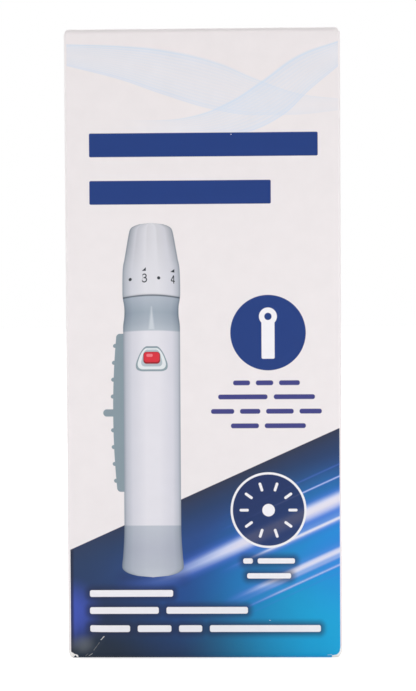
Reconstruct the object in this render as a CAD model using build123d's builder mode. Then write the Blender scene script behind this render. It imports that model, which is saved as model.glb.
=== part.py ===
# Straight-tuck-end folding carton: one creased board blank, wrapped into a sleeve and glued
# along one rear corner, with a tuck flap at the top and another at the base. Both tuck flaps
# fold from the front panel and tuck in behind the back panel, over two dust flaps each.
# Millimetres. +Z is up, the printed front panel faces -Y, and the origin is the middle of the base.
import os
from math import asin, cos, degrees, radians, sin, sqrt

from build123d import *

# Erected carton, measured outside
carton_width = 57.0
carton_depth = 30.0
carton_height = 130.5

# Board and folds
board = 0.45  # caliper of the coated carton board
panel_crease = 0.25  # inside radius of the pressed folds round the sleeve and at the dust flaps
closure_crease = 0.65  # inside radius of a closure's two folds, which are only tucked by hand
corner_notch = 0.9  # relief cut at each end of a closure's front fold

# Tuck flaps: a closure panel, a tuck crease and a tongue
closure_gap = 0.35  # play between the tuck crease and the back panel
tuck_length = 13.0  # tongue, from its crease to its free edge
tuck_side_gap = 0.8  # play between the tongue and each side panel
tuck_corner = 6.5  # rounding of the tongue's two free corners
tuck_slit = 4.5  # lock slit at each end of the tuck crease
lean_margin = 2.0  # degrees of lean beyond what the tongue needs to swing out

# Dust flaps: two at each end, folded in from the side panels
flap_gap = 0.1  # play between a dust flap and the closure panel over it
dust_flap_length = 21.0  # from the side panel's outer face to the free edge
dust_flap_taper = 2.5  # how far the front edge slopes back towards the free edge
dust_flap_corner = 3.5  # rounding of the free corners
lock_notch_length = 5.0  # notch beside the tuck crease's lock slit, from the side panel's outer face
lock_notch_depth = 1.6
flap_clearance = 0.4  # play between a dust flap's rear edge and the tongue as it swings past

# Glue seam at the left rear corner
glue_lap_width = 12.0  # lap under the back panel, from the left panel's outer face
glue_lap_taper = 5.0  # how much the lap's ends slope back towards its free edge
seam_setback = 0.4  # back panel's cut edge, from the end of the corner fold

# Outer faces and folds that follow from those sizes
panel_fold = panel_crease + board
closure_fold = closure_crease + board
half_width = carton_width / 2
half_depth = carton_depth / 2
mid_height = carton_height / 2
fold_level = carton_height - closure_fold  # centre line of a closure's two folds
flap_top = carton_height - board - flap_gap  # outer face of a dust flap
side_top = flap_top - panel_fold  # where a side panel starts to bend into its dust flap
closure_half_width = half_width - corner_notch
seam_edge = half_width - panel_fold - seam_setback  # cut edge of the back panel, left of the middle

# A closure turns about the middle of its front fold's outer face, where its fold is parted
half_fold = 45.0
hinge_inset = closure_fold * (1 - sqrt(0.5))
hinge_y = hinge_inset - half_depth
front_fold = (closure_fold - half_depth, fold_level)

# The tongue leans in, so that no point of it is further from the hinge than its crease is
crease_y = half_depth - board - closure_gap
tuck_fold = (crease_y - closure_fold, fold_level)
swing = crease_y - hinge_y
lean = degrees(asin(tuck_length / (2 * swing))) + lean_margin
lean_cos = cos(radians(lean))
lean_sin = sin(radians(lean))
tongue_half_width = half_width - board - tuck_side_gap

# A dust flap reaches from behind the closure's front fold to the nearest that the tongue swings
flap_front = front_fold[0]
flap_rear = hinge_y + swing * lean_cos - board - flap_clearance

# Dust flap: a quarter-round fold at the top of the right side panel, then the flat flap
with BuildPart() as dust_flap:
    with BuildSketch(Plane.XZ.offset(-flap_front)):
        with BuildLine():
            flap_fold = (half_width - panel_fold, side_top)
            outer = CenterArc(flap_fold, panel_fold, 0, 90)
            inner = CenterArc(flap_fold, panel_crease, 0, 90)
            Line(outer @ 0, inner @ 0)
            Line(outer @ 1, inner @ 1)
        make_face()
    extrude(amount=flap_front - flap_rear + lock_notch_depth)
    with BuildSketch(Plane.XY.offset(flap_top)) as flap_outline:
        with BuildLine():
            Polyline(
                (half_width - panel_fold, flap_front),
                (half_width - dust_flap_length, flap_front + dust_flap_taper),
                (half_width - dust_flap_length, flap_rear),
                (half_width - lock_notch_length - lock_notch_depth, flap_rear),
                (half_width - lock_notch_length, flap_rear - lock_notch_depth),
                (half_width - panel_fold, flap_rear - lock_notch_depth),
                close=True,
            )
        make_face()
        fillet(flap_outline.vertices().group_by(Axis.X)[0], dust_flap_corner)
    extrude(amount=-board)

# Sleeve, built as its upper half and mirrored: the board wrapped round the four panels
with BuildPart() as carton_sleeve:
    with BuildSketch(Plane.XY.offset(mid_height)):
        with BuildLine():
            FilletPolyline(
                (glue_lap_width - half_width, half_depth - board),
                (-half_width, half_depth - board),
                (-half_width, -half_depth),
                (half_width, -half_depth),
                (half_width, 0),
                radius=panel_fold,
            )
            offset(amount=board, side=Side.LEFT)
        make_face()
        with BuildLine():
            FilletPolyline(
                (half_width, 0),
                (half_width, half_depth),
                (-seam_edge, half_depth),
                radius=panel_fold,
            )
            offset(amount=board, side=Side.LEFT)
        make_face()
    extrude(amount=side_top - mid_height)

    # The glue lap's end slopes back from the corner fold to the lap's free edge
    with BuildSketch(Plane.XZ.offset(board - half_depth)):
        with BuildLine():
            Polyline(
                (panel_fold - half_width, side_top),
                (glue_lap_width - half_width, side_top),
                (glue_lap_width - half_width, side_top - glue_lap_taper),
                close=True,
            )
        make_face()
    extrude(amount=board, mode=Mode.SUBTRACT)

    # The front panel carries on between the corner notches to the first half of the lid's fold
    with BuildSketch(Plane.YZ):
        with BuildLine():
            outer = CenterArc(front_fold, closure_fold, 180, -half_fold)
            inner = CenterArc(front_fold, closure_crease, 180, -half_fold)
            Line(outer @ 1, inner @ 1)
            Polyline(
                outer @ 0,
                (-half_depth, side_top),
                (board - half_depth, side_top),
                inner @ 0,
            )
        make_face()
    extrude(amount=closure_half_width, both=True)

    # The back panel carries on to its cut edge, level with the lid's outer face
    with BuildSketch(Plane.XZ.offset(-half_depth)):
        with Locations((0, side_top)):
            Rectangle(2 * seam_edge, carton_height - side_top, align=(Align.CENTER, Align.MIN))
    extrude(amount=board)

    add(dust_flap.part)
    mirror(dust_flap.part, about=Plane.YZ)
    mirror(about=Plane.XY.offset(mid_height))

# Top tuck flap: second half of the front fold, closure panel, tuck crease and tongue
with BuildPart() as top_tuck_flap:
    with BuildSketch(Plane.YZ):
        with BuildLine():
            outer = CenterArc(front_fold, closure_fold, 180 - half_fold, -half_fold)
            inner = CenterArc(front_fold, closure_crease, 180 - half_fold, -half_fold)
            Line(outer @ 0, inner @ 0)
            Polyline(
                outer @ 1,
                (tuck_fold[0], carton_height),
                (tuck_fold[0], carton_height - board),
                inner @ 1,
            )
        make_face()
    extrude(amount=closure_half_width, both=True)

    # The tuck crease stops short of the panel's corners, where the lock slits are
    with BuildSketch(Plane.YZ):
        with BuildLine():
            outer = CenterArc(tuck_fold, closure_fold, 90, -90 - lean)
            inner = CenterArc(tuck_fold, closure_crease, 90, -90 - lean)
            Line(outer @ 0, inner @ 0)
            Line(outer @ 1, inner @ 1)
        make_face()
    extrude(amount=tongue_half_width - tuck_slit, both=True)

    # The tongue lies in a plane that leans away from the back panel
    tongue_root = (0, tuck_fold[0] + closure_fold * lean_cos, fold_level - closure_fold * lean_sin)
    tongue_plane = Plane(origin=tongue_root, x_dir=(1, 0, 0), z_dir=(0, lean_cos, -lean_sin))
    with BuildSketch(tongue_plane) as tongue_outline:
        Rectangle(2 * tongue_half_width, tuck_length, align=(Align.CENTER, Align.MIN))
        fillet(tongue_outline.vertices().group_by(Axis.Y)[-1], tuck_corner)
    extrude(amount=-board)

# Bottom tuck flap: the same closure at the base
with BuildPart() as bottom_tuck_flap:
    mirror(top_tuck_flap.part, about=Plane.XY.offset(mid_height))

os.makedirs("parts", exist_ok=True)
carton_sleeve.part.label = "carton_sleeve"
export_step(carton_sleeve.part, "parts/carton_sleeve.step")
top_tuck_flap.part.label = "top_tuck_flap"
export_step(top_tuck_flap.part, "parts/top_tuck_flap.step")
bottom_tuck_flap.part.label = "bottom_tuck_flap"
export_step(bottom_tuck_flap.part, "parts/bottom_tuck_flap.step")
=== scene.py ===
import bpy
import math
from functools import partial
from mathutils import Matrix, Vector, noise


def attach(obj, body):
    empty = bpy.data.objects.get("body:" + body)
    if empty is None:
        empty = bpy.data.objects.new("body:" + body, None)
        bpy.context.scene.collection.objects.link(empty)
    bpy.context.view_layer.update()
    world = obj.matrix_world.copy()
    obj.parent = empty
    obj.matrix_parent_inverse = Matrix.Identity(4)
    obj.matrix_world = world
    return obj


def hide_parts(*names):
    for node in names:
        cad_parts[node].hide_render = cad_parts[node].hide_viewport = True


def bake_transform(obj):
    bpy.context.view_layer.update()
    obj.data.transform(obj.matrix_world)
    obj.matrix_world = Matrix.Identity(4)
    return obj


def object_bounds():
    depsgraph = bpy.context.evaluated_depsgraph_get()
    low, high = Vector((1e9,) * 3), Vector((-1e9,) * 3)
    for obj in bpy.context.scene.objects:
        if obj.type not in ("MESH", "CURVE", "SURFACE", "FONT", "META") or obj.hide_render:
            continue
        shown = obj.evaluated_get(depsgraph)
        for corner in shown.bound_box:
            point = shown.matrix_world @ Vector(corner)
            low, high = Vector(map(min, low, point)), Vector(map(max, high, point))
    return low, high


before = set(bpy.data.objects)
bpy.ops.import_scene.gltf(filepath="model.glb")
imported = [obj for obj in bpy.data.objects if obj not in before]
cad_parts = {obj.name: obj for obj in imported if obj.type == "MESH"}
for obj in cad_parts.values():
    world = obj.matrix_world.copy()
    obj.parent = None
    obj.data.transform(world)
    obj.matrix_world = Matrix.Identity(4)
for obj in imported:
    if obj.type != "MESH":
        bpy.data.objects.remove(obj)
cadLow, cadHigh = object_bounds()
print("frame loaded:", ", ".join(sorted(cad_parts)))

# one erected folding carton in millimetres: its outside size from the frame, the rest as the CAD has it
mm = 0.001     # in metres
hair = 1e-6    # points closer than this lie on one line
width, depth, high = [round((top - low) / mm, 3) for low, top in zip(cadLow, cadHigh)]
carton = {
    "board": 0.45, "closureGap": 0.35, "flapGap": 0.1, "cornerNotch": 0.9,
    "panelFold": 0.7,                        # outer radius of the pressed folds
    "closureFold": 1.1,                      # outer radius of the hand-tucked folds
    "tuckLength": 13.0, "leanMargin": 2.0,   # tongue, and degrees that it leans beyond what its swing needs
}
board, panelFold, closureFold = carton["board"], carton["panelFold"], carton["closureFold"]
halfW, halfD = width / 2, depth / 2
closureHalf = halfW - carton["cornerNotch"]
foldLevel = high - closureFold
flapTop = high - board - carton["flapGap"]
sideTop = flapTop - panelFold
sideLow = high - sideTop
# where a closure hinges, how far out its tuck crease is and how its tongue leans
hingeY = closureFold * (1 - math.sqrt(0.5)) - halfD
swing = halfD - board - carton["closureGap"] - hingeY
lean = math.asin(carton["tuckLength"] / 2 / swing) + math.radians(carton["leanMargin"])


# shaping the board
def walk(start, heading, side, moves):
    # follows the board's outer face through runs and folds; side 1 has the outside on the left
    # each stop gives its part, place, outward normal and distance gone
    a, b = start
    normal = heading + side * 90
    gone, found = 0.0, []
    for part, size, turn, stops in moves:
        out = math.radians(normal)
        if turn:
            ca, cb = a - size * math.cos(out), b - size * math.sin(out)
            for share in stops:
                angle = math.radians(normal - side * turn * share)
                found.append((part, ca + size * math.cos(angle), cb + size * math.sin(angle),
                              math.cos(angle), math.sin(angle), gone + size * math.radians(turn) * share))
            normal -= side * turn
            out = math.radians(normal)
            a, b = ca + size * math.cos(out), cb + size * math.sin(out)
            gone += size * math.radians(turn)
        else:
            ahead = math.radians(normal - side * 90)
            for share in stops:
                found.append((part, a + size * share * math.cos(ahead), b + size * share * math.sin(ahead),
                              math.cos(out), math.sin(out), gone + size * share))
            a, b = a + size * math.cos(ahead), b + size * math.sin(ahead)
            gone += size
    return found


def evenly(count):
    # shares of a run, both ends included
    return [i / count for i in range(count + 1)]


def roundOff(count):
    # shares of a rounded corner's length, closer together towards its tip
    return [math.sin(share * math.pi / 2) for share in evenly(count)[1:]]


wear = {
    "bow": 0.22,                          # how far the middle of a panel sinks
    "ripple": 0.05, "rippleSpan": 25.0,   # unevenness of the panels, and how far apart its hills are
    "foldFacing": 0.5, "foldEase": 0.4,   # a fold sinks with the front from this much of its normal on
    "panelFacing": 0.9,                   # and the other panels only where they are flat
    # the lower left corner is bent in along this line, until the bend fades out further up it
    "creaseFrom": (-24.4, 0.3), "creaseTo": (-21.0, 4.7), "creaseStart": -0.8, "creaseEnd": 7.5,
    "creaseFade": 3.5, "creaseWidth": 0.6, "creaseDepth": 0.12,
    "bendDepth": 0.42, "bendSlope": 0.16, "sideSlope": 0.3,   # slopes from the line and from the side fold
}


def bulge(z):
    # 0 at a panel's ends, 1 at half its height
    return max(0, math.sin(math.pi * min(max(z / high, 0), 1)))


def pressedIn(x, z):
    # how far the front panel lies inside a flat one: a slight bow, and the knocked lower left corner
    bow = wear["bow"] * max(0, 1 - (x / halfW) ** 2) * bulge(z) ** 0.5
    start = Vector(wear["creaseFrom"])
    line = (Vector(wear["creaseTo"]) - start).normalized()
    gone = Vector((x, z)) - start
    along, beyond = gone.dot(line), gone.x * -line.y + gone.y * line.x
    reach = min(1, max(0, (wear["creaseEnd"] - along) / wear["creaseFade"]))
    fromFold = max(0, x + halfW - panelFold)
    bend = min(max(0, beyond) * wear["bendSlope"], fromFold * wear["sideSlope"], wear["bendDepth"]) * reach
    near = max(0, 1 - abs(beyond) / wear["creaseWidth"]) * (reach if along > wear["creaseStart"] else 0)
    return bow + bend + wear["creaseDepth"] * near


def weatherPoint(p, n):
    # the outer face's point after handling; panels only ever sink, so the carton keeps its outside size
    x, y, z = p
    sunk = 0.0
    if n[1] < -wear["foldFacing"]:
        sunk = pressedIn(x, z) * min(1, (-n[1] - wear["foldFacing"]) / wear["foldEase"])
    elif abs(n[0]) > wear["panelFacing"] or n[1] > wear["panelFacing"]:
        across = y / halfD if abs(n[0]) > wear["panelFacing"] else x / halfW
        uneven = wear["ripple"] * noise.noise(Vector((x, y, z)) / wear["rippleSpan"])
        sunk = (wear["bow"] + uneven) * max(0, 1 - across ** 2) * bulge(z)
    return Vector(p) - Vector(n) * sunk


def boardPiece(name, rows, cols, place, keep, flip, layOut):
    # a sheet of board from a grid of outer points: coated face, bare face and cut edges, one closed mesh
    verts, faces, skins, blank, rub = [], [], [], [], []
    index = {}

    def corner(r, c, inner):
        key = (r, c, inner)
        if key not in index:
            p, n, flat, worn = place(r, c)
            q = weatherPoint(p, n) - (Vector(n) * board if inner else Vector((0, 0, 0)))
            index[key] = len(verts)
            verts.append(q * mm)
            blank.append((flat[0], flat[1], 1.0 if inner else 0.0))
            rub.append(worn)
        return index[key]

    kept = {(r, c) for r in range(rows - 1) for c in range(cols - 1) if keep(r, c)}
    for r, c in sorted(kept):
        for inner in (0, 1):
            ring = [corner(*spot, inner) for spot in ((r, c), (r, c + 1), (r + 1, c + 1), (r + 1, c))]
            faces.append(ring[::-1] if bool(inner) != flip else ring)
            skins.append(inner)
        sides = [((r - 1, c), (r, c), (r, c + 1)), ((r, c + 1), (r, c + 1), (r + 1, c + 1)),
                 ((r + 1, c), (r + 1, c + 1), (r + 1, c)), ((r, c - 1), (r + 1, c), (r, c))]
        for beside, p, q in sides:
            if beside not in kept:
                ring = [corner(*q, 0), corner(*p, 0), corner(*p, 1), corner(*q, 1)]
                faces.append(ring[::-1] if flip else ring)
                skins.append(2)
    mesh = bpy.data.meshes.new(name)
    mesh.from_pydata(verts, [], faces)
    mesh.polygons.foreach_set("material_index", skins)
    mesh.polygons.foreach_set("use_smooth", [s < 2 for s in skins])
    flats = [value for point in blank for value in point]
    mesh.attributes.new("blank", "FLOAT_VECTOR", "POINT").data.foreach_set("vector", flats)
    mesh.attributes.new("rub", "FLOAT", "POINT").data.foreach_set("value", rub)
    mesh.update()
    mesh.set_sharp_from_angle(angle=math.radians(50))   # cut edges stay crisp where a skin meets them
    if layOut:
        layOut(mesh, blank, skins)
    piece = bpy.data.objects.new(name, mesh)
    bpy.context.scene.collection.objects.link(piece)
    return piece


# sleeve: glue lap, left, front, right and back panels in one wrapped strip
sleeveLook = {
    "panelPitch": 2.5, "rowPitch": 1.6, "foldSteps": 6, "lapSteps": 5,
    "footPitch": 0.45, "footRows": 14,                       # closer rows by the knocked corner
    "fineLines": 60, "coarseLines": 20, "fineEnd": -2 / 3,   # lines on half the front; fine ones end here
    "lapWidth": 12.0, "lapTaper": 5.0, "glueFilm": 0.02, "seamSetback": 0.4,
    "flapLength": 21.0, "flapTaper": 2.5, "flapCorner": 3.5, "flapClearance": 0.4,
    "flapRoot": 2.0, "flapRows": 4, "cornerRows": 6, "lockLength": 5.0, "lockDepth": 1.6,
    # how far the corners stand above the side panels' tops, and the share of it by the glued seam
    "cornerLift": 0.05, "frontLift": 0.1, "sideLift": 0.5, "rearLift": 0.85, "seamShare": 0.4,
    # the blank laid flat for textures: place on the sheet, share of the sheet for a millimetre
    "frontSheet": (0.008, 0.008, 0.0075, 0.0075), "plainSheet": (0.455, 0.515, 0.0029, 0.00275),
    "bareSheet": (0.455, 0.02, 0.0021, 0.0027), "blankFrom": (-75.0, -21.5),
    "edgeSheet": (0.86, 0.02), "edgePitch": (0.0048, 0.0155), "edgeSize": (0.004, 0.013), "edgesInRow": 28,
}
flapFront = closureFold - halfD
flapRear = hingeY + swing * math.cos(lean) - board - sleeveLook["flapClearance"]
rootRear = flapRear - sleeveLook["lockDepth"]
seamEdge = halfW - panelFold - sleeveLook["seamSetback"]


def linesAcrossFront(look):
    # shared with the flaps that fold from the front, and closest by the knocked corner
    fine = round((1 + look["fineEnd"]) * look["fineLines"])
    coarse = math.ceil((1 - look["fineEnd"]) * look["coarseLines"])
    shares = [i / look["fineLines"] - 1 for i in range(fine)]
    shares += [i / look["coarseLines"] + look["fineEnd"] for i in range(coarse)]
    return [closureHalf * share for share in shares + [1]]


def buildSleeve(look):
    turn = evenly(look["foldSteps"])[1:-1]
    lapRear = halfD - board - look["glueFilm"]
    rootRun = rootRear - flapFront
    lapRun = look["lapWidth"] - panelFold
    leftRun = lapRear + halfD - 2 * panelFold
    rightRun = depth - 2 * panelFold
    frontRun = width - 2 * panelFold
    backRun = halfW - panelFold + seamEdge
    flapStops = evenly(round(rootRun / look["panelPitch"]))
    leftStops = [0] + [(lapRear - panelFold - rootRear + s * rootRun) / leftRun for s in flapStops] + [1]
    rightStops = [0] + [(flapFront + halfD - panelFold + s * rootRun) / rightRun for s in flapStops] + [1]
    frontStops = [0] + [x / frontRun + 0.5 for x in frontLines] + [1]
    backStops = [0] + [(look["seamSetback"] + s * 2 * seamEdge) / backRun
                       for s in evenly(round(backRun / look["panelPitch"]))]
    stations = walk((look["lapWidth"] - halfW, lapRear), 180, -1, [
        ("lap", lapRun, 0, evenly(look["lapSteps"])), ("fold", panelFold, 90, turn),
        ("left", leftRun, 0, leftStops), ("fold", panelFold, 90, turn),
        ("front", frontRun, 0, frontStops), ("fold", panelFold, 90, turn),
        ("right", rightRun, 0, rightStops), ("fold", panelFold, 90, turn), ("back", backRun, 0, backStops)])
    onFront = [s[5] for s in stations if s[0] == "front"]
    middle = (onFront[0] + onFront[-1]) / 2

    # rows up the panels
    zs = [sideLow + i * look["footPitch"] for i in range(look["footRows"])]
    rest = sideTop - zs[-1]
    zs += [zs[-1] + rest * share for share in evenly(round(rest / look["rowPitch"]))[1:]]

    # rows out over a dust flap: its fold, then the flat flap with a rounded end
    flapRun = look["flapLength"] - panelFold
    lock = look["lockLength"] - panelFold
    straight = flapRun - look["flapCorner"]
    flat = [0.0, look["flapRoot"], lock, lock + look["lockDepth"]]
    flat += [flat[-1] + (straight - flat[-1]) * share for share in evenly(look["flapRows"])[1:]]
    flat += [straight + look["flapCorner"] * share for share in roundOff(look["cornerRows"])]
    outward = [("fold", share * math.pi / 2) for share in turn] + [("flap", d) for d in flat]
    over, main = len(outward), len(zs)

    def flapEdges(d):
        front = flapFront + look["flapTaper"] * d / flapRun
        rear = rootRear + min(max(d - lock, 0), look["lockDepth"])
        into = max(0, d - straight)
        cut = look["flapCorner"] - math.sqrt(max(0, look["flapCorner"] ** 2 - into ** 2))
        return front + cut, rear - cut

    def onFlap(c):
        part, y = stations[c][0], stations[c][2]
        return part in ("left", "right") and flapFront - hair <= y <= rootRear + hair

    def raised(c):
        # a corner fold and the strips beside it, which stand a little above the side panels
        part, x = stations[c][:2]
        return (part == "fold" or part == "front" and abs(x) > closureHalf - hair
                or part == "back" and x > seamEdge - hair or part in ("left", "right") and not onFlap(c))

    def place(r, c):
        part, x, y, nx, ny, gone = stations[c]
        u = gone - middle
        if over <= r < over + main:
            z = zs[r - over]
            if part == "lap":
                share = min(1, max(0, (x + halfW - panelFold) / lapRun))
                z = high / 2 + (z - high / 2) * (1 - share * look["lapTaper"] / (sideTop - high / 2))
            return (x, y, z), (nx, ny, 0), (u, z), 1.0 if part == "fold" else 0.0
        up = r >= over + main
        kind, d = outward[r - over - main if up else over - 1 - r]
        if not onFlap(c):
            z = foldLevel if part == "front" else high
            if part not in ("front", "back") or abs(x) > closureHalf + hair:
                rear = max(0, ny) * look["rearLift"] * (1 if x > 0 else look["seamShare"])
                beside = (1 - abs(ny)) * look["sideLift"] * (y > 0)
                z = sideTop + look["cornerLift"] + max(0, -ny) * look["frontLift"] + rear + beside
            z = z if up else high - z
            return (x, y, z), (nx, ny, 0), (u, z), 0.0
        if kind == "fold":
            px, pz = halfW - panelFold + panelFold * math.cos(d), sideTop + panelFold * math.sin(d)
            n, out = (math.copysign(math.cos(d), x), math.sin(d)), panelFold * d
        else:
            px, pz = halfW - panelFold - d, flapTop
            n, out = (0, 1), panelFold * math.pi / 2 + d
            front, rear = flapEdges(d)
            y = front + (y - flapFront) / rootRun * (rear - front)
        v = sideTop + out
        p = (math.copysign(px, x), y, pz if up else high - pz)
        return p, (n[0], 0, n[1] if up else -n[1]), (u, v if up else high - v), 0.0

    def keep(r, c):
        if over <= r < over + main - 1:
            return True
        a, b = stations[c], stations[c + 1]
        onePart = a[0] == b[0]
        if onePart and onFlap(c) and onFlap(c + 1):
            return True
        if r not in (over - 1, over + main - 1):   # past the first row beyond a panel
            return False
        limit = {"front": closureHalf, "back": seamEdge}.get(a[0], 0)
        return raised(c) and raised(c + 1) or onePart and max(abs(a[1]), abs(b[1])) <= limit + hair

    def layOut(mesh, blank, skins):
        # front panel large on the sheet, plain panels and the bare side small, cut edges as rows of cells
        uv = mesh.uv_layers.new(name="OFBake")
        edges = 0
        for face, skin in zip(mesh.polygons, skins):
            flats = [blank[i] for i in face.vertices]
            across = sum(f[0] for f in flats) / len(flats)
            left, low = look["blankFrom"]
            x, y, wide, tall = look["bareSheet"]
            if skin == 0 and abs(across) <= halfW:
                x, y, wide, tall = look["frontSheet"]
                left, low = -halfW, 0
            elif skin == 0:
                x, y, wide, tall = look["plainSheet"]
                left += width if across > 0 else 0
            spots = [(x + (f[0] - left) * wide, y + (f[1] - low) * tall) for f in flats]
            if skin == 2:
                row, column = divmod(edges, look["edgesInRow"])
                x = look["edgeSheet"][0] + look["edgePitch"][0] * column
                y = look["edgeSheet"][1] + look["edgePitch"][1] * row
                wide, tall = look["edgeSize"]
                spots = [(x, y), (x + wide, y), (x + wide, y + tall), (x, y + tall)]
                edges += 1
            for loop, spot in zip(face.loop_indices, spots):
                uv.data[loop].uv = spot

    return boardPiece("printed_sleeve", main + 2 * over, len(stations), place, keep, False, layOut)


frontLines = linesAcrossFront(sleeveLook)
printedSleeve = buildSleeve(sleeveLook)
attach(printedSleeve, "sleeve")
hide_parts("carton_sleeve")
print("sleeve built:", len(printedSleeve.data.polygons), "faces")

# tuck flaps: front fold, closure panel, tuck crease and tongue in one strip
flapLook = {
    "sideGap": 0.8, "slit": 4.5, "corner": 6.5,
    "foldSteps": 8, "panelRows": 12, "tongueRows": 4, "cornerRows": 8,
    # the front fold's clipped ends: gap to the panel, reach towards the corner, roundness left and right
    "clipGap": 0.02, "clipReach": 0.72, "clip": (2.0, 1.0),
}


def buildTuckFlap(name, look, atTop):
    panelRun = swing + hingeY + halfD - 2 * closureFold
    tongueHalf = halfW - board - look["sideGap"]
    turn = evenly(look["foldSteps"])
    length, corner = carton["tuckLength"], look["corner"]
    straight = length - corner
    tongue = [straight * share / length for share in evenly(look["tongueRows"])[1:]]
    tongue += [(straight + corner * share) / length for share in roundOff(look["cornerRows"])]
    path = walk((-halfD, foldLevel), 90, 1, [
        ("front", closureFold, 90, turn), ("panel", panelRun, 0, evenly(look["panelRows"])[1:]),
        ("crease", closureFold, 90 + math.degrees(lean), turn[1:]), ("tongue", length, 0, tongue)])
    creases = [i for i, p in enumerate(path) if p[0] == "crease"]
    firstCrease, lastCrease = creases[0] - 1, creases[-1]
    creaseShare = (tongueHalf - look["slit"]) / closureHalf
    shares = sorted([x / closureHalf for x in frontLines] + [creaseShare, -creaseShare])
    shares = [-2.0] + shares + [2.0]   # the first and last lines are only there on the fold's clipped ends

    def place(r, c):
        part, y, z, ny, nz, gone = path[r]
        half = closureHalf
        if r >= lastCrease:
            into = max(0, gone - path[lastCrease][5] - straight)
            half = tongueHalf - corner + math.sqrt(max(0, corner ** 2 - into ** 2))
        x = shares[c] * half
        if abs(shares[c]) > 1:
            side = math.copysign(1, shares[c])
            rise = math.sin(min(gone / closureFold, math.pi / 2))
            clipped = 1 - rise ** look["clip"][side > 0]
            x = side * (closureHalf + look["clipGap"] + look["clipReach"] * clipped)
            past = max(0, abs(x) - halfW + panelFold) / panelFold
            y += panelFold * (1 - math.sqrt(1 - past ** 2))   # bends round with the corner
        v = foldLevel + gone
        rubbed = math.sin(math.pi * min(1, gone / (closureFold * math.pi / 2))) if part == "front" else 0.0
        if atTop:
            return (x, y, z), (0, ny, nz), (x, v), rubbed
        return (x, y, high - z), (0, ny, -nz), (x, high - v), rubbed

    def keep(r, c):
        if c in (0, len(shares) - 2):
            return path[r + 1][0] == "front"
        if firstCrease <= r < lastCrease:
            return max(abs(shares[c]), abs(shares[c + 1])) <= creaseShare + hair
        return True

    piece = boardPiece(name, len(path), len(shares), place, keep, not atTop, None)
    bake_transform(piece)
    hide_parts("top_tuck_flap" if atTop else "bottom_tuck_flap")
    return piece


topFlap = buildTuckFlap("top_flap_board", flapLook, True)
bottomFlap = buildTuckFlap("bottom_flap_board", flapLook, False)
print("tuck flaps built:", len(topFlap.data.polygons), "faces each")


# materials
def linear(code):
    # sRGB hex to linear
    parts = [int(code[i:i + 2], 16) / 255 for i in (1, 3, 5)]
    return tuple(p / 12.92 if p <= 0.04045 else ((p + 0.055) / 1.055) ** 2.4 for p in parts) + (1.0,)


def fillRamp(ramp, stops):
    # colour stops from hex codes or grey levels
    while len(ramp.elements) < len(stops):
        ramp.elements.new(0.5)
    for element, (at, value) in zip(ramp.elements, stops):
        element.position = at
        element.color = linear(value) if isinstance(value, str) else (value, value, value, 1)


def drawCurve(mapping, points):
    # a smooth line through the points given, all within 0 to 1
    curve = mapping.curves[0].points
    while len(curve) < len(points):
        curve.new(0.5, 0.5)
    for knot, (at, value) in zip(curve, points):
        knot.location = (at, value)
        knot.handle_type = "AUTO_CLAMPED"
    mapping.update()


def feed(node, inputs):
    # gives a node's inputs their values or links, by name or by number
    for name, value in inputs.items():
        if isinstance(value, bpy.types.NodeSocket):
            node.id_data.links.new(value, node.inputs[name])
        else:
            node.inputs[name].default_value = value


def addNode(tree, kind, *values, out=0, stops=None, points=None, **settings):
    # one node with its settings; values and links come in the order of its inputs, or in a dictionary
    # gives the output asked for, or the node itself for None
    node = tree.nodes.new("ShaderNode" + kind)
    for name, value in settings.items():
        setattr(node, name, value)
    if stops:
        fillRamp(node.color_ramp, stops)
    if points:
        drawCurve(node.mapping, points)
    named = values and isinstance(values[0], dict)
    feed(node, values[0] if named else dict(enumerate(values)))
    return node if out is None else node.outputs[out]


def startMaterial(name):
    # a new material, what adds nodes to it, and its shader
    material = bpy.data.materials.new(name)
    material.use_nodes = True
    return material, partial(addNode, material.node_tree), material.node_tree.nodes["Principled BSDF"]


def combined(add, operation, *masks):
    # several masks in one: MULTIPLY keeps what they share, MAXIMUM the strongest
    whole = masks[0]
    for mask in masks[1:]:
        whole = add("Math", whole, mask, operation=operation)
    return whole


def barDistance(add, spot, box, rounding=0.1):
    # millimetres outside a round-cornered bar; a mask needs no more than the rounding given here
    middle = ((box[0] + box[2]) / 2, (box[1] + box[3]) / 2, 0)
    half = ((box[2] - box[0]) / 2 - rounding, (box[3] - box[1]) / 2 - rounding, 0)
    off = add("VectorMath", spot, middle, operation="SUBTRACT")
    off = add("VectorMath", off, operation="ABSOLUTE")
    off = add("VectorMath", off, half, operation="SUBTRACT")
    off = add("VectorMath", off, (0, 0, 0), operation="MAXIMUM")
    far = add("VectorMath", off, out="Value", operation="LENGTH")
    return add("Math", far, rounding, operation="SUBTRACT")


def discDistance(add, spot, centre, radius):
    # millimetres outside a disc
    far = add("VectorMath", spot, centre + (0,), out="Value", operation="DISTANCE")
    return add("Math", far, radius, operation="SUBTRACT")


def ringDistance(add, spot, centre, radius, half):
    # millimetres outside the line of a ring
    off = add("Math", discDistance(add, spot, centre, radius), operation="ABSOLUTE")
    return add("Math", off, half, operation="SUBTRACT")


def strokeDistance(add, spot, a, b, half, rounding):
    # millimetres outside a straight stroke from a to b
    tilt = math.atan2(b[1] - a[1], b[0] - a[0])
    turned = add("VectorRotate", {"Vector": spot, "Center": a + (0,), "Angle": -tilt},
                 rotation_type="Z_AXIS")
    return barDistance(add, turned, (a[0], a[1] - half, a[0] + math.dist(a, b), a[1] + half), rounding)


def within(add, distance, soft=0.05, strength=1.0):
    # full inside a shape, fading to nothing over a soft edge
    return add("MapRange", distance, soft, -soft, 0.0, strength)


def inked(add, sheet, mask, ink):
    # lays an ink over the sheet where the mask is 1; either colour may be a hex code
    sheet, ink = [linear(c) if isinstance(c, str) else c for c in (sheet, ink)]
    return add("Mix", {0: mask, 6: sheet, 7: ink}, out=2, data_type="RGBA")


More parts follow.
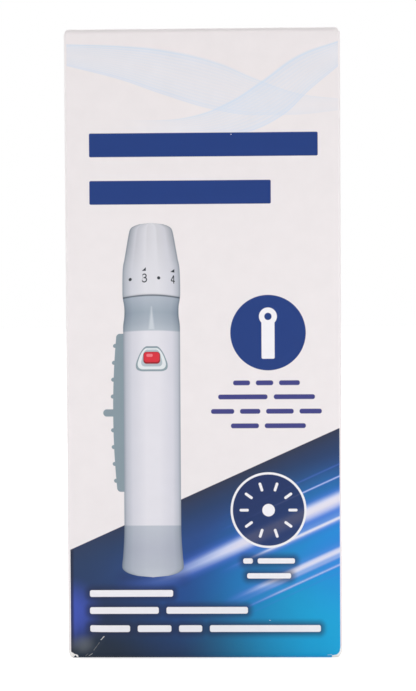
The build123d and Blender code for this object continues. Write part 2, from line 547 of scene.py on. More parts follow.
def barsPrinted(add, sheet, spot, bars):
    # prints bars over each other, each with its own box, rounding and ink
    for box, rounding, ink in bars:
        sheet = inked(add, sheet, within(add, barDistance(add, spot, box, rounding)), ink)
    return sheet


# print on the front panel, in millimetres from its middle and from the base; a pair that limits a mask gives
# where it begins and where it is full
artwork = {
    # trim of the print
    "left": -27.9, "right": 28.05, "bleed": -3.6, "beyond": 136.0, "trimRounding": 0.05, "trimSoft": 0.04,
    "white": "#EFE9EA", "navy": "#16377A", "caption": "#3D3E80", "reversed": "#F4F2F6",
    # ribbons of fine lines: heights of both edges at shares of the width, where they fade, lines across
    "ribbonSpan": (100, 130), "ribbonInk": "#D5E1F1", "betweenLines": 0.6,
    "ribbonBand": [(0, 0.0), (0.03, 0.75), (0.14, 0.5), (0.5, 0.36), (0.84, 0.5), (0.96, 0.85), (1, 0.0)],
    "ribbons": [
        {"upper": [(0, 127.4), (0.2, 127.0), (0.35, 126.2), (0.55, 123.6),
                   (0.7, 120.0), (0.86, 116.8), (1, 115.7)],
         "lower": [(0, 122.8), (0.2, 119.8), (0.35, 116.8), (0.55, 113.4),
                   (0.7, 112.3), (0.86, 112.4), (1, 113.2)],
         "fade": (60, -20), "lines": 15},
        {"upper": [(0, 112.6), (0.3, 111.6), (0.46, 112.4), (0.6, 115.4),
                   (0.72, 119.7), (0.86, 125.0), (1, 127.6)],
         "lower": [(0, 111.0), (0.3, 109.2), (0.5, 107.4), (0.64, 108.4),
                   (0.78, 111.6), (0.9, 117.6), (1, 122.2)],
         "fade": (-20, 6), "lines": 12}],
    # plain bars: left, bottom, right, top
    "headings": [(-23.4, 104.0, 23.8, 108.9), (-23.4, 94.2, 14.1, 99.1)], "headingRounding": 0.3,
    "captionLines": [
        (6.1, 56.7, 9.6, 57.7), (10.8, 56.7, 14.4, 57.7), (15.6, 56.7, 19.9, 57.7),
        (3.0, 53.8, 13.2, 54.8), (14.5, 53.8, 23.0, 54.8),
        (1.5, 50.8, 6.3, 51.8), (7.5, 50.8, 11.7, 51.8), (12.9, 50.8, 18.6, 51.8), (19.8, 50.8, 24.4, 51.8),
        (5.6, 47.8, 11.4, 48.8), (12.6, 47.8, 21.1, 48.8)], "captionRounding": 0.45,
    "fieldLines": [
        (8.0, 19.7, 10.0, 20.8), (11.0, 19.7, 18.7, 20.8), (8.8, 16.6, 17.9, 17.7),
        (-23.9, 12.85, -6.6, 14.25), (-23.9, 9.3, -9.6, 10.7), (-8.0, 9.3, 8.9, 10.7),
        (-23.9, 5.5, -15.6, 6.9), (-14.0, 5.5, -7.0, 6.9), (-5.4, 5.5, -0.6, 6.9), (1.0, 5.5, 24.0, 6.9)],
    "fieldRounding": 0.4, "lineShadow": (1.7, -0.2), "shadowStrength": 0.75, "shadowInk": "#16203F",
    # disc, and on it a pin from its middle: box, rounding and ink
    "disc": (13.37, 67.57), "discRadius": 7.8,
    "pin": [((-1.35, -5.4, 1.35, 2.6), 0.3, "reversed"), ((-1.85, 1.5, 1.85, 5.2), 1.85, "reversed"),
            ((-0.75, 2.6, 0.75, 4.1), 0.75, "navy")],
    # ring, its dial marks and its hub
    "ring": (13.3, 30.8), "ringRadius": 7.63, "ringStroke": 0.23, "ringInk": "#15295A", "ringCover": 0.94,
    "marks": 10, "markBox": (-0.28, 4.1, 0.28, 6.0), "markRounding": 0.28, "hub": 1.3,
    # dark field: height of its edge at the middle, slope, and tones at millimetres below the edge
    "fieldEdge": (35.22, 0.4488),
    "fieldTones": [(0, "#272F47"), (4, "#1F3963"), (9, "#234682"), (15, "#1F4A8E"), (22, "#184889"),
                   (32, "#193862"), (44, "#152D47")],
    "leftTrimDarkening": (0.8, 0.35), "leftTrimDarkeningStrength": 0.75, "leftTrimTone": "#14182C",   # darker strip along the left trim
    # glows: place, radius where it is full and where it ends, strength, colour
    "glows": [((-28, 18), 2, 24, 0.65, "#22385C"), ((-24, -4), 6, 27, 0.97, "#132131"),
              ((-28.5, 9.6), 1.5, 8.2, 0.9, "#4055B6"), ((12, 17), 2, 17, 0.55, "#1B5FB6"),
              ((29, 7), 3, 36, 1.0, "#06A3D7"), ((31, 24), 3, 19, 0.8, "#1C8BDE")],
    # light streaks: line of the main one, level at millimetres off it, and where they fade in
    "streakLine": (20.6, 0.455), "streakBend": 0.0195, "bendFrom": -5.0, "streakSpan": (-18.0, 10.0),
    "streaks": [
        ([(-3.4, 0), (-2.3, 0.3), (-1.6, 0.62), (-0.5, 1.0), (0.4, 0.92), (1.1, 0.6), (2.0, 0.22), (3.2, 0)],
         (-19, 10)),
        ([(-15.8, 0), (-15.5, 0.14), (-15.1, 0.02), (-14.4, 0.02), (-13.9, 0.65), (-13.4, 0.2),
          (-12.8, 0.15), (-12.2, 0.5), (-11.6, 0.55), (-11.0, 0.9), (-10.5, 0.75), (-9.9, 0.3), (-8.6, 0.1),
          (-6.5, 0), (-5.4, 0.1), (-4.6, 0.45), (-4.1, 0.95), (-3.6, 0.4), (-2.6, 0.3), (-1.5, 0.2), (0, 0),
          (4.1, 0), (4.5, 0.7), (4.9, 0), (6.7, 0), (7.0, 0.25), (7.4, 0)], (3, 16))],
    "streakTones": [(0, "#2A50C8"), (0.3, "#6586E3"), (0.6, "#B4C5F1"), (0.85, "#DCDDF2"), (1, "#EBE7F1")],
    "streakCover": 0.75,
}


def printFront(add, look):
    flat = add("Attribute", out="Vector", attribute_name="blank")
    spot = add("VectorMath", flat, (1, 1, 0), operation="MULTIPLY")
    u, v = add("SeparateXYZ", spot, out=None).outputs[:2]
    sheet = look["white"]

    # two pale ribbons that cross above the headings
    low, top = look["ribbonSpan"]
    share = add("MapRange", u, look["left"], look["right"])
    height = add("MapRange", v, low, top)
    for ribbon in look["ribbons"]:
        edges = []
        for name in ("lower", "upper"):
            points = [(at, (level - low) / (top - low)) for at, level in ribbon[name]]
            edges.append(add("FloatCurve", {1: share}, points=points))
        across = add("MapRange", height, edges[0], edges[1])
        band = add("ValToRGB", across, stops=look["ribbonBand"])
        lines = add("Math", across, 2 * math.pi * ribbon["lines"], operation="MULTIPLY")
        lines = add("Math", lines, operation="SINE")
        lines = add("MapRange", lines, -1.0, 1.0, look["betweenLines"], 1.0)
        start, full = ribbon["fade"]
        fading = add("MapRange", u, start, full, interpolation_type="SMOOTHSTEP")
        sheet = inked(add, sheet, combined(add, "MULTIPLY", band, lines, fading), look["ribbonInk"])

    # slanted dark field: navy by its edge, cyan in the lower right, a violet glow at the left
    rise, slope = look["fieldEdge"]
    below = add("Math", u, slope, rise, operation="MULTIPLY_ADD")
    below = add("Math", below, v, operation="SUBTRACT")
    deepest = look["fieldTones"][-1][0]
    field = add("MapRange", below, 0.0, deepest)
    field = add("ValToRGB", field, stops=[(at / deepest, tone) for at, tone in look["fieldTones"]])
    for centre, near, far, strength, tone in look["glows"]:
        away = add("VectorMath", spot, centre + (0,), out="Value", operation="DISTANCE")
        glow = add("MapRange", away, far, near, 0.0, strength, interpolation_type="SMOOTHSTEP")
        field = inked(add, field, glow, tone)
    # the field darkens in a thin strip just inside the left trim
    start, full = [look["left"] + inset for inset in look["leftTrimDarkening"]]
    leftTrimDarkening = add("MapRange", u, start, full, 0.0, look["leftTrimDarkeningStrength"])
    field = inked(add, field, leftTrimDarkening, look["leftTrimTone"])

    # streaks of light along a gentle curve, brighter to the right
    bend = add("Math", u, look["bendFrom"], operation="SUBTRACT")
    bend = add("Math", bend, 0.0, operation="MINIMUM")
    bend = add("Math", bend, bend, operation="MULTIPLY")
    rise, slope = look["streakLine"]
    run = add("Math", u, slope, rise, operation="MULTIPLY_ADD")
    run = add("Math", bend, look["streakBend"], run, operation="MULTIPLY_ADD")
    across = add("Math", v, run, operation="SUBTRACT")
    low, top = look["streakSpan"]
    across = add("MapRange", across, low, top)
    for levels, (start, full) in look["streaks"]:
        levels = [((at - low) / (top - low), level) for at, level in levels]
        glow = add("ValToRGB", across, stops=levels)
        fading = add("MapRange", u, start, full)
        glow = combined(add, "MULTIPLY", glow, fading)
        tint = add("ValToRGB", glow, stops=look["streakTones"])
        cover = add("MapRange", glow, 0.0, look["streakCover"])
        field = inked(add, field, cover, tint)
    above = add("Math", below, -1.0, operation="MULTIPLY")
    sheet = inked(add, sheet, within(add, above), field)

    # headings and the caption under the disc, as plain bars
    bars = [(box, look["headingRounding"], look["navy"]) for box in look["headings"]]
    bars += [(box, look["captionRounding"], look["caption"]) for box in look["captionLines"]]
    sheet = barsPrinted(add, sheet, spot, bars)

    # disc with a pin sign
    disc = within(add, discDistance(add, spot, look["disc"], look["discRadius"]))
    sheet = inked(add, sheet, disc, look["navy"])
    fromDisc = add("VectorMath", spot, look["disc"] + (0,), operation="SUBTRACT")
    bars = [(box, rounding, look[ink]) for box, rounding, ink in look["pin"]]
    sheet = barsPrinted(add, sheet, fromDisc, bars)

    # ring with the marks of a dial
    centre, radius = look["ring"], look["ringRadius"]
    inside = within(add, discDistance(add, spot, centre, radius), strength=look["ringCover"])
    sheet = inked(add, sheet, inside, look["ringInk"])
    rim = within(add, ringDistance(add, spot, centre, radius, look["ringStroke"]))
    fromRing = add("VectorMath", spot, centre + (0,), operation="SUBTRACT")
    far = add("VectorMath", fromRing, out="Value", operation="LENGTH")
    x, y = add("SeparateXYZ", fromRing, out=None).outputs[:2]
    tick = add("Math", y, x, operation="ARCTAN2")
    step = math.pi / look["marks"]
    tick = add("Math", tick, -step, step, operation="WRAP")
    tick = add("Math", tick, far, operation="MULTIPLY")
    tick = add("CombineXYZ", tick, far)
    tick = within(add, barDistance(add, tick, look["markBox"], look["markRounding"]))
    hub = within(add, discDistance(add, spot, centre, look["hub"]))
    for mark in (rim, tick, hub):
        sheet = inked(add, sheet, mark, look["reversed"])

    # white lines on the dark field, each with a soft shadow
    start, full = look["lineShadow"]
    for box in look["fieldLines"]:
        away = barDistance(add, spot, box, look["fieldRounding"])
        shade = add("MapRange", away, start, full, 0.0, look["shadowStrength"],
                    interpolation_type="SMOOTHSTEP")
        sheet = inked(add, sheet, shade, look["shadowInk"])
        sheet = inked(add, sheet, within(add, away), look["reversed"])
    return spot, u, v, sheet


# pen-shaped device pictured in flat tints; its dial, bezel and window are placed across from its axis
pen = {
    "axis": -10.72, "low": 16.9, "top": 90.4, "halfWidest": 7.0, "inset": 0.06,
    "shadow": (-17.6, 15.9, -3.9, 17.6), "shadowRounding": 0.8, "shadowSoft": 1.6, "shadowStrength": 0.45,
    "shadowInk": "#1B2440",
    # share of the height, and half width in millimetres
    "outline": [(0, 0), (0.002, 2.3), (0.007, 4.2), (0.014, 5.5), (0.022, 6.2), (0.03, 6.45), (0.06, 6.25),
                (0.146, 5.95), (0.7, 5.95), (0.75, 5.66), (0.79, 5.98), (0.8, 6.04), (0.865, 5.96),
                (0.9, 5.54), (0.932, 5.13), (0.962, 4.74), (0.98, 4.42), (0.991, 3.5), (0.9975, 1.9),
                (1, 0)],
    # joints bow up between these heights: height lost for each square millimetre off the axis
    "arch": 0.019, "archFrom": 62.0, "archTo": 76.0,
    "tones": [(0, "#C6CBD4"), (0.03, "#BBC0CB"), (0.08, "#B7BBC8"), (0.146, "#BFC4CE"), (0.147, "#E5E3EA"),
              (0.697, "#E4E2E9"), (0.699, "#B9C1CA"), (0.72, "#ABB4BF"), (0.75, "#A0ABB7"),
              (0.793, "#B4BCC7"), (0.7955, "#4E5963"), (0.7985, "#4E5963"), (0.801, "#E1E0E6"),
              (1, "#DCDBE1")],
    # from the left edge to the right one: shading all the way up, and shallow facets on the cap
    "shading": [(0.0, "#98A3AC"), (0.05, "#CDD3D8"), (0.16, "#ECEEF1"), (0.4, "#FFFFFF"), (0.62, "#FFFFFF"),
                (0.86, "#F0F1F4"), (0.95, "#D3D8DD"), (1.0, "#9AA5AD")],
    "facets": [(0.0, 0.78), (0.16, 0.97), (0.2, 0.88), (0.38, 1.0), (0.42, 0.92), (0.6, 1.0), (0.64, 0.9),
               (0.82, 0.97), (0.86, 0.86), (1.0, 0.8)],
    "facetsFrom": (0.86, 0.95),
    # tapering shine on the collar: its tip, its slope and the stretch that it shows on
    "shine": {"tip": 73.4, "slope": 0.12, "soft": 0.2, "box": (-16, 68.4, -5, 73.2), "boxSoft": 0.1,
              "strength": 0.7, "ink": "#D5DAE0"},
    # dial: height of its marks, and places across; a wedge has its foot, right side and slope
    "dial": {
        "level": 79.07, "pitch": 5.9, "dotAt": 1.55, "dot": 0.33, "stroke": 0.12, "ink": "#2F343C",
        "wedge": (1.46, 0.31, 0.87), "wedgeReach": 0.54, "threeAt": -1.42, "fourAt": 4.5, "fourWidth": 0.8,
        "bowls": [((0.0, 0.42), 0.37), ((0.0, -0.38), 0.45)], "bowlGap": (-2.0, -0.48, -0.1, 0.56),
        "gapRounding": 0.02,
        "four": [((0.2, -0.85), (0.2, 0.85)), ((-0.52, -0.34), (0.5, -0.34)), ((-0.5, -0.3), (0.2, 0.85))]},
    # rail along the left side: its edge, ribs that stand out from the edge, and a lever at its middle
    "rail": {
        "middle": 51.1, "halfLength": 16.4, "edge": -18.0, "bulge": 0.8, "width": 6, "rounding": 0.7,
        "rib": (-0.5, -0.42, 0.34, 0.42), "ribRounding": 0.42, "ribPitch": 3.5, "firstRib": 2.0,
        "ribMargin": 1.0, "lever": (-2.05, -0.75, 3, 0.75), "leverRounding": 0.72, "ink": "#8797A0"},
    # bezel and window, the bezel narrower towards its top: box, rounding and ink
    "bezelNarrows": (60.0, 65.0, 1.95),
    "bezel": [((-4.2, 59.7, 4.2, 64.9), 2.4, "#8B9CA4"), ((-3.8, 60.1, 3.8, 64.5), 2.0, "#E3E7EA"),
              ((-2.9, 60.7, 2.9, 64.2), 1.3, "#B3BEC5")],
    "window": [((-1.75, 61.25, 1.75, 63.75), 0.7, "#8E1722"), ((-1.6, 61.6, 1.6, 63.65), 0.6, "#D72F3C"),
               ((-1.1, 62.7, 0.2, 63.3), 0.25, "#EC7C85")],
}


def printPen(add, look, spot, u, v, sheet):
    # tapered cap, collar, barrel, flared foot, window and side rail
    shadow = barDistance(add, spot, look["shadow"], look["shadowRounding"])
    shadow = within(add, shadow, look["shadowSoft"], look["shadowStrength"])
    sheet = inked(add, sheet, shadow, look["shadowInk"])

    # the rail's edge swells towards its middle, and its ribs and lever stand out from that edge
    rail = look["rail"]
    half = rail["halfLength"]
    lift = add("Math", v, rail["middle"], operation="SUBTRACT")
    swell = add("Math", lift, half, operation="DIVIDE")
    swell = add("Math", swell, swell, operation="MULTIPLY")
    edge = add("MapRange", {0: swell, 3: rail["edge"] - rail["bulge"], 4: rail["edge"]})
    left = add("Math", u, edge, operation="SUBTRACT")
    beside = add("CombineXYZ", left, lift)
    rib = add("Math", v, rail["firstRib"], operation="SUBTRACT")
    rib = add("Math", rib, -rail["ribPitch"] / 2, rail["ribPitch"] / 2, operation="WRAP")
    rib = add("CombineXYZ", left, rib)
    rib = within(add, barDistance(add, rib, rail["rib"], rail["ribRounding"]))
    reach = half - rail["ribMargin"]
    ribbed = within(add, barDistance(add, beside, (-rail["width"], -reach, rail["width"], reach)))
    sheet = inked(add, sheet, combined(add, "MULTIPLY", rib, ribbed), rail["ink"])
    bars = [((0, -half, rail["width"], half), rail["rounding"], rail["ink"])]
    bars.append((rail["lever"], rail["leverRounding"], rail["ink"]))
    sheet = barsPrinted(add, sheet, beside, bars)

    # the body between its outlines
    off = add("Math", u, look["axis"], operation="SUBTRACT")
    away = add("Math", off, operation="ABSOLUTE")
    share = add("MapRange", v, look["low"], look["top"])
    points = [(at, half / look["halfWidest"]) for at, half in look["outline"]]
    half = add("FloatCurve", {1: share}, points=points)
    half = add("Math", half, look["halfWidest"], operation="MULTIPLY")
    body = add("Math", away, half, operation="SUBTRACT")
    body = within(add, add("Math", body, look["inset"], operation="ADD"))
    arch = add("MapRange", v, look["archFrom"], look["archTo"], 0.0, look["arch"])
    arch = add("Math", arch, away, operation="MULTIPLY")
    arched = add("Math", arch, away, v, operation="MULTIPLY_ADD")
    tone = add("MapRange", arched, look["low"], look["top"])
    tone = add("ValToRGB", tone, stops=look["tones"])
    across = add("Math", off, half, operation="DIVIDE")
    across = add("MapRange", across, -1.0, 1.0)
    onCap = add("MapRange", share, look["facetsFrom"][0], look["facetsFrom"][1])
    for stops, cover in ((look["shading"], 1.0), (look["facets"], onCap)):
        shade = add("ValToRGB", across, stops=stops)
        tone = add("Mix", {0: cover, 6: tone, 7: shade}, out=2, data_type="RGBA", blend_type="MULTIPLY")
    sheet = inked(add, sheet, body, tone)

    shine = look["shine"]
    taper = add("Math", v, -shine["slope"], shine["slope"] * shine["tip"], operation="MULTIPLY_ADD")
    taper = add("Math", away, taper, operation="SUBTRACT")
    taper = within(add, taper, shine["soft"])
    onCollar = within(add, barDistance(add, spot, shine["box"]), shine["boxSoft"], shine["strength"])
    sheet = inked(add, sheet, combined(add, "MULTIPLY", taper, onCollar), shine["ink"])

    # dial round the cap: dots, and a wedge over each number
    dial = look["dial"]
    up = add("Math", arched, dial["level"], operation="SUBTRACT")
    marks = []
    for shift in (0.0, dial["pitch"] / 2):
        turned = add("Math", off, dial["dotAt"] + shift, operation="SUBTRACT")
        marks.append(add("Math", turned, -dial["pitch"] / 2, dial["pitch"] / 2, operation="WRAP"))
    dot = add("CombineXYZ", marks[0], up)
    dot = within(add, discDistance(add, dot, (0, 0), dial["dot"]))
    foot, right, slope = dial["wedge"]
    side = add("Math", marks[1], right, operation="SUBTRACT")
    under = add("Math", foot, up, operation="SUBTRACT")
    over = add("Math", marks[1], -slope, up, operation="MULTIPLY_ADD")
    over = add("Math", over, foot + dial["wedgeReach"] * slope, operation="SUBTRACT")
    wedge = within(add, combined(add, "MAXIMUM", side, under, over))
    for mark in (dot, wedge):
        sheet = inked(add, sheet, combined(add, "MULTIPLY", mark, body), dial["ink"])

    # the number 3 from two rings open to the left, and the number 4 from three strokes
    stroke = dial["stroke"]
    three = add("Math", off, dial["threeAt"], operation="SUBTRACT")
    three = add("CombineXYZ", three, up)
    gap = within(add, barDistance(add, three, dial["bowlGap"], dial["gapRounding"]))
    for centre, radius in dial["bowls"]:
        bowl = within(add, ringDistance(add, three, centre, radius, stroke))
        bowl = add("Math", bowl, gap, operation="SUBTRACT", use_clamp=True)
        sheet = inked(add, sheet, bowl, dial["ink"])
    four = add("Math", off, dial["fourAt"], operation="SUBTRACT")
    four = add("Math", four, dial["fourWidth"], operation="DIVIDE")
    four = add("CombineXYZ", four, up)
    for a, b in dial["four"]:
        sheet = inked(add, sheet, within(add, strokeDistance(add, four, a, b, stroke, stroke)), dial["ink"])

    # the window in its bezel
    low, top, narrowest = look["bezelNarrows"]
    narrow = add("MapRange", v, low, top, 1.0, narrowest)
    tapered = add("Math", off, narrow, operation="MULTIPLY")
    tapered = add("CombineXYZ", tapered, v)
    upright = add("CombineXYZ", off, v)
    sheet = barsPrinted(add, sheet, tapered, look["bezel"])
    return barsPrinted(add, sheet, upright, look["window"])


# clay-coated carton board, offset printed and satin varnished: even white with a soft low sheen, a faint
# mottle in the solids, inks that break to white fibre where a fold or a knock has rubbed them
coated = {
    "roughness": 0.45, "roughPlay": 0.05, "ior": 1.34, "bump": 0.035, "bumpDepth": 0.0004,
    "mottleMm": 4.0, "mottleSpan": (0.2, 0.8), "mottle": 0.015,
    "formationMm": 0.9,   # the board's fine unevenness, drawn coarser than it is so that it shows
    "fibreMm": 1 / 1.7,   # clumps of fibre, drawn coarser than they are so that a torn edge looks ragged
    "fibreTone": "#F8F6F3", "wornRough": 0.3, "wornLift": 1.5,
    "rub": 0.3, "rubbed": (0.96, 1.04),
    # the bent corner is greyed: a painted sheen for the light its tilt catches, together with its ink dulled
    # by the knock
    "sheenAndDull": {"place": (-25.5, 2.9), "size": (3.3, 2.6), "span": (1.0, 0.1), "strength": 0.3,
             "tone": "#868C94"},
    # scratches at the bent corner: from, to and strength
    "scratches": [((-24.2, 0.45), (-23.45, 1.05), 0.4), ((-24.9, 0.45), (-24.4, 0.95), 0.2),
                  ((-21.7, 3.85), (-21.0, 4.6), 0.75), ((-23.2, 1.7), (-22.0, 3.3), 0.12),
                  ((26.3, 0.78), (25.4, 0.64), 0.6)],
    "scratchHalf": 0.05, "scratchRounding": 0.04, "scratchRagged": 0.25, "scratchEdge": (0.19, 0.09),
    "ragged": 0.5, "frontSoft": 0.1,   # share of the fibre in a torn edge, and where the front panel ends
    # tear at the lower left: slope and height of its upper edge, where it stops, the tip of ink below it
    "tearLeft": {"slope": 0.72, "edge": (1.72, 1.58), "stop": (-26.39, -26.51),
                 "tipAt": -27.06, "tipSlope": 1.3, "tip": (0.45, 0.55)},
    # tear at the lower right: what is left of the ink has a round corner
    "tearRight": {"bottom": 0.6, "rounding": 1.6, "edge": (0.2, 0.32), "start": (26.25, 26.35),
                  "foot": (2.6, 2.4)},
    "speckMm": 7.0, "speckSize": (0.06, -0.035),   # one cell for each speck; only the largest show
}


def coatedCartonBoard(look):
    material, add, shader = startMaterial("coated_carton_board")
    spot, u, v, sheet = printFront(add, artwork)
    sheet = printPen(add, pen, spot, u, v, sheet)

    # the print is trimmed just inside the side folds and bleeds a little way round the bottom fold
    trim = (artwork["left"], artwork["bleed"], artwork["right"], artwork["beyond"])
    trim = within(add, barDistance(add, spot, trim, artwork["trimRounding"]), artwork["trimSoft"])
    sheet = inked(add, artwork["white"], trim, sheet)

    # painted sheen and dulled ink: the bent lower left corner greys towards a paler tone
    sheenAndDull = look["sheenAndDull"]
    sheenAndDullMask = add("VectorMath", spot, sheenAndDull["place"] + (0,), operation="SUBTRACT")
    sheenAndDullMask = add("VectorMath", sheenAndDullMask, sheenAndDull["size"] + (1,), operation="DIVIDE")
    sheenAndDullMask = add("VectorMath", sheenAndDullMask, out="Value", operation="LENGTH")
    start, full = sheenAndDull["span"]
    sheenAndDullMask = add("MapRange", sheenAndDullMask, start, full, 0.0, sheenAndDull["strength"], interpolation_type="SMOOTHSTEP")
    sheet = inked(add, sheet, sheenAndDullMask, sheenAndDull["tone"])

    # rubbed folds show white fibre
    fibre = add("TexNoise", {"Vector": spot, "Scale": 1 / look["fibreMm"], "Detail": 4.0, "Roughness": 0.65})
    rub = add("Attribute", out="Fac", attribute_name="rub")
    rub = add("Math", rub, look["rub"], fibre, operation="MULTIPLY_ADD")
    worn = [add("MapRange", rub, look["rubbed"][0], look["rubbed"][1])]

    # thin scratches, ragged along their length
    start, full = look["scratchEdge"]
    for a, b, strength in look["scratches"]:
        away = strokeDistance(add, spot, a, b, look["scratchHalf"], look["scratchRounding"])
        away = add("Math", fibre, look["scratchRagged"], away, operation="MULTIPLY_ADD")
        worn.append(add("MapRange", away, start, full, 0.0, strength))

    # lower left corner: a strip of fibre, with a tip of ink left below it
    onFront = within(add, barDistance(add, spot, (-halfW, -halfD, halfW, high)), look["frontSoft"])
    torn = look["tearLeft"]
    reach = add("Math", u, torn["slope"], -artwork["left"] * torn["slope"], operation="MULTIPLY_ADD")
    reach = add("Math", reach, v, operation="ADD")
    reach = add("Math", fibre, look["ragged"], reach, operation="MULTIPLY_ADD")
    tip = add("Math", u, torn["tipAt"], operation="SUBTRACT")
    tip = add("Math", tip, operation="ABSOLUTE")
    tip = add("Math", tip, torn["tipSlope"], v, operation="MULTIPLY_ADD")
    limits = [(reach, torn["edge"]), (tip, torn["tip"]), (u, torn["stop"])]
    limits = [add("MapRange", value, start, full) for value, (start, full) in limits]
    worn.append(combined(add, "MULTIPLY", onFront, *limits))

    # lower right corner: the ink has come away round it
    torn = look["tearRight"]
    left = (-artwork["right"], torn["bottom"], artwork["right"], high)
    left = barDistance(add, spot, left, torn["rounding"])
    left = add("Math", fibre, look["ragged"], left, operation="MULTIPLY_ADD")
    limits = [(left, torn["edge"]), (u, torn["start"]), (v, torn["foot"])]
    limits = [add("MapRange", value, start, full) for value, (start, full) in limits]
    worn.append(combined(add, "MULTIPLY", onFront, *limits))

    # stray white specks in the dark ink
    cells = add("TexVoronoi", {"Vector": spot, "Scale": 1 / look["speckMm"]}, out=None)
    speck = add("SeparateColor", cells.outputs["Color"])
    speck = add("Math", speck, look["speckSize"][0], look["speckSize"][1], operation="MULTIPLY_ADD")
    worn.append(add("Math", cells.outputs["Distance"], speck, operation="LESS_THAN"))
    worn = combined(add, "MAXIMUM", *worn)
    sheet = inked(add, sheet, worn, look["fibreTone"])

    # print mottle: patches a few millimetres wide, about one and a half percent lighter or darker
    mottle = add("TexNoise", {"Vector": spot, "Scale": 1 / look["mottleMm"], "Detail": 2.0})
    low, top = look["mottleSpan"]
    level = add("MapRange", mottle, low, top, 1 - look["mottle"], 1 + look["mottle"])
    sheet = add("VectorMath", {0: sheet, 3: level}, operation="SCALE")

    # varnish: a little rougher in patches and where worn; the board's formation just lifts the surface
    smooth, coarse = look["roughness"] - look["roughPlay"], look["roughness"] + look["roughPlay"]
    rough = add("MapRange", mottle, low, top, smooth, coarse)
    rough = add("Math", worn, look["wornRough"], rough, operation="MULTIPLY_ADD", use_clamp=True)
    formation = add("TexNoise", {"Vector": spot, "Scale": 1 / look["formationMm"], "Detail": 3.0})
    formation = add("Math", worn, look["wornLift"], formation, operation="MULTIPLY_ADD")
    bump = add("Bump", {"Strength": look["bump"], "Distance": look["bumpDepth"], "Height": formation})
    feed(shader, {"Base Color": sheet, "Roughness": rough, "Normal": bump, "IOR": look["ior"]})
    return material


# bare reverse of the same board: warm white wood fibre, matt, with short flecks
bareSide = {
    "tones": [(0.32, "#D6CEC1"), (0.46, "#E6E0D6"), (0.75, "#EEE9E1")],
    "roughness": 0.88, "roughPlay": 0.08, "ior": 1.45, "bump": 0.25, "bumpDepth": 0.0003,
    "fibreMm": (0.35, 1.6),   # width and length, drawn wider than real fibres so that they show
}


def bareBoard(look):
    material, add, shader = startMaterial("uncoated_board_reverse")
    flat = add("Attribute", out="Vector", attribute_name="blank")
    across, along = look["fibreMm"]
    grain = add("VectorMath", flat, (1 / across, 1 / along, 1), operation="MULTIPLY")
    fibre = add("TexNoise", {"Vector": grain, "Scale": 1.0, "Detail": 5.0, "Roughness": 0.6})
    tone = add("ValToRGB", fibre, stops=look["tones"])
    smooth, coarse = look["roughness"] - look["roughPlay"], look["roughness"] + look["roughPlay"]
    rough = add("MapRange", {0: fibre, 3: smooth, 4: coarse})
    bump = add("Bump", {"Strength": look["bump"], "Distance": look["bumpDepth"], "Height": fibre})
    feed(shader, {"Base Color": tone, "Roughness": rough, "Normal": bump, "IOR": look["ior"]})
    return material


# die-cut edge of the board: pale fibre core, slightly ragged and fully matt
cutEdge = {
    "tones": [(0.3, "#C9C0B2"), (0.5, "#E9E4DA"), (0.8, "#F3F0EA")],
    "roughness": 0.95, "ior": 1.45, "bump": 0.4, "bumpDepth": 0.0002,
    "fibreMm": 0.3,   # drawn coarser than real fibres so that they show
}


def cutBoardEdge(look):
    material, add, shader = startMaterial("die_cut_board_edge")
    flat = add("Attribute", out="Vector", attribute_name="blank")
    fibre = add("TexNoise", {"Vector": flat, "Scale": 1 / look["fibreMm"], "Detail": 3.0})
    tone = add("ValToRGB", fibre, stops=look["tones"])
    bump = add("Bump", {"Strength": look["bump"], "Distance": look["bumpDepth"], "Height": fibre})
    feed(shader, {"Base Color": tone, "Roughness": look["roughness"], "Normal": bump, "IOR": look["ior"]})
    return material


finishes = [coatedCartonBoard(coated), bareBoard(bareSide), cutBoardEdge(cutEdge)]
for piece in (printedSleeve, topFlap, bottomFlap):
    for material in finishes:
        piece.data.materials.append(material)
print("materials made:", ", ".join(m.name for m in finishes))

# studio: pale floor, white surround, low lamps in front, softer ones above, beside and behind
studio = {
    "surround": 0.535, "floor": "#F6F6F6", "floorLift": 0.66, "floorReach": 6.0,
    "lamps": [  # place, aim, width and height in metres, watts
        ("key_lamp", (0.24, -0.26, 0.028), (0.0, 0.0, 0.005), (0.25, 0.05), 0.32),
        ("fill_lamp", (-0.24, -0.26, 0.028), (0.0, 0.0, 0.005), (0.25, 0.05), 0.25),
        ("top_lamp", (0.0, 0.5, 0.75), (0.0, 0.0, 0.1), (0.5, 0.5), 2.8),
        ("left_lamp", (-0.9, 0.1, 0.3), (0.0, 0.0, 0.06), (0.6, 0.6), 0.95),
        ("right_lamp", (0.9, 0.1, 0.3), (0.0, 0.0, 0.06), (0.6, 0.6), 0.6),
        ("rear_lamp", (-0.3, 1.0, 0.4), (0.0, 0.0, 0.06), (0.8, 0.6), 0.4),
    ],
}


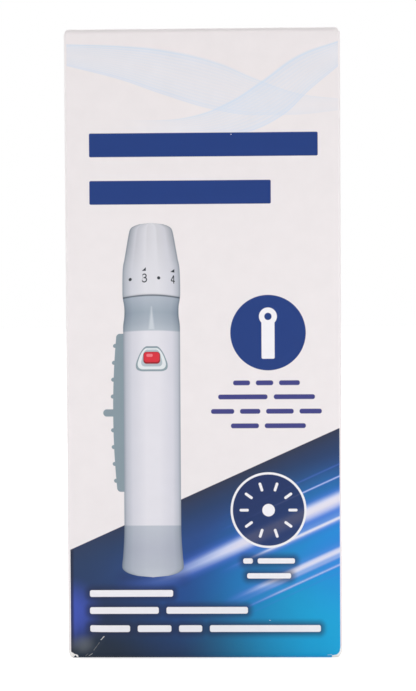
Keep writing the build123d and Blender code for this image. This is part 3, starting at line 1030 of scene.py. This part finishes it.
def seenDirectly(add):
    # 1 where the camera, a gloss or a clear thing looks, which is to be white; 0 for the light on the carton
    seen = add("LightPath", out=None)
    return combined(add, "MAXIMUM", seen.outputs["Is Camera Ray"], seen.outputs["Is Glossy Ray"],
                    seen.outputs["Is Transmission Ray"])


def buildStudio(look):
    world = bpy.data.worlds.new("white_surround")
    bpy.context.scene.world = world
    world.use_nodes = True
    add = partial(addNode, world.node_tree)
    level = add("MapRange", {0: seenDirectly(add), 3: look["surround"], 4: 1.0})
    feed(world.node_tree.nodes["Background"], {"Color": (1, 1, 1, 1), "Strength": level})

    far = look["floorReach"]
    mesh = bpy.data.meshes.new("studio_floor")
    mesh.from_pydata([(-far, -far, 0), (far, -far, 0), (far, far, 0), (-far, far, 0)], [], [(0, 1, 2, 3)])
    floor = bpy.data.objects.new("studio_floor", mesh)
    bpy.context.scene.collection.objects.link(floor)
    paper, add, shader = startMaterial("white_paper_sweep")
    lift = add("Math", seenDirectly(add), look["floorLift"], operation="MULTIPLY")
    feed(shader, {"Base Color": linear(look["floor"]), "Roughness": 1.0,
                  "Emission Color": (1, 1, 1, 1), "Emission Strength": lift})
    mesh.materials.append(paper)

    for name, place, aim, size, power in look["lamps"]:
        lamp = bpy.data.lights.new(name, "AREA")
        lamp.shape = "RECTANGLE"
        lamp.size, lamp.size_y = size
        lamp.energy = power
        holder = bpy.data.objects.new(name, lamp)
        holder.location = place
        holder.rotation_euler = (Vector(aim) - Vector(place)).to_track_quat("-Z", "Y").to_euler()
        bpy.context.scene.collection.objects.link(holder)


buildStudio(studio)

# camera a little right of the carton and above its middle, rolled a third of a degree
shot = {"lens": 85.0, "sensor": 36.0, "nearest": 0.01,
        "place": (0.0089, -0.35216, 0.07235), "turn": (88.748, 0.342, 1.342)}
camera = bpy.data.cameras.new("photo_camera")
camera.lens = shot["lens"]
camera.sensor_width = shot["sensor"]
camera.clip_start = shot["nearest"]
holder = bpy.data.objects.new("photo_camera", camera)
holder.location = shot["place"]
holder.rotation_euler = [math.radians(t) for t in shot["turn"]]
bpy.context.scene.collection.objects.link(holder)
bpy.context.scene.camera = holder
bpy.context.scene.view_settings.view_transform = "Standard"
print("studio and camera ready")
